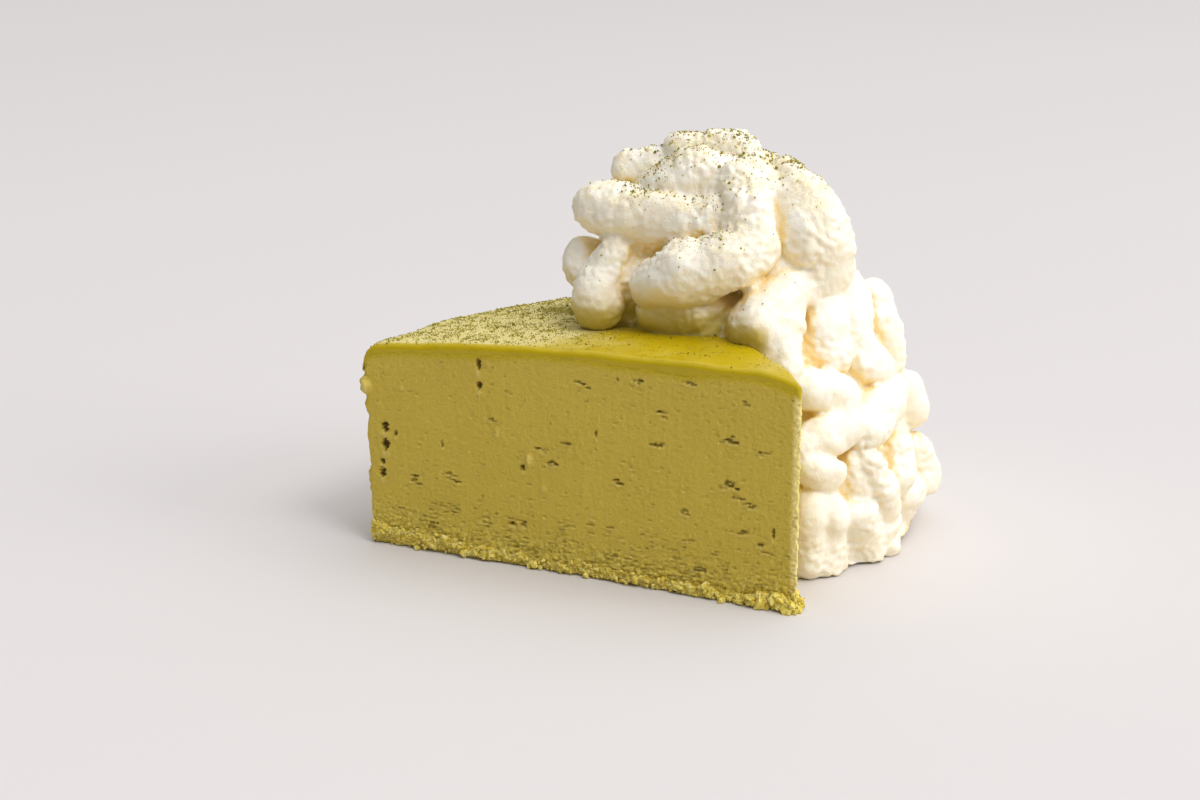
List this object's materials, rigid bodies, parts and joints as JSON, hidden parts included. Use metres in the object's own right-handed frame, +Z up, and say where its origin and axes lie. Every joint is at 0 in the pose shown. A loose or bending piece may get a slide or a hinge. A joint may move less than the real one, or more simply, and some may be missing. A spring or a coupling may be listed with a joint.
{
  "type": "slice of matcha cheesecake",
  "caption": "Wedge of green tea cheesecake with a crumb base and a glazed top, and piped whipped cream heaped against one cut face and over its top edge.",
  "frame": {"origin": "on the slice's flat underside, 74 mm back from its tip along its middle line, below the middle of the wedge", "axes": "+Z up; the slice's tip points along -Y and its rim faces +Y; the cream lies on the +X side"},
  "size_m": [0.1293, 0.1144, 0.102],
  "materials": {
    "crumb": "rough, yellow-green crumbs",
    "cheesecake": "soft, matt, yellow-green, with small pores",
    "glaze": "thin green skin, half glossy, dusted with powder",
    "cream": "soft, satin, warm white"
  },
  "bodies": {
    "root": {"crumb_base": "crumb", "cheesecake": "cheesecake", "matcha_glaze": "glaze", "whipped_cream": "cream"}
  },
  "joints": []
}
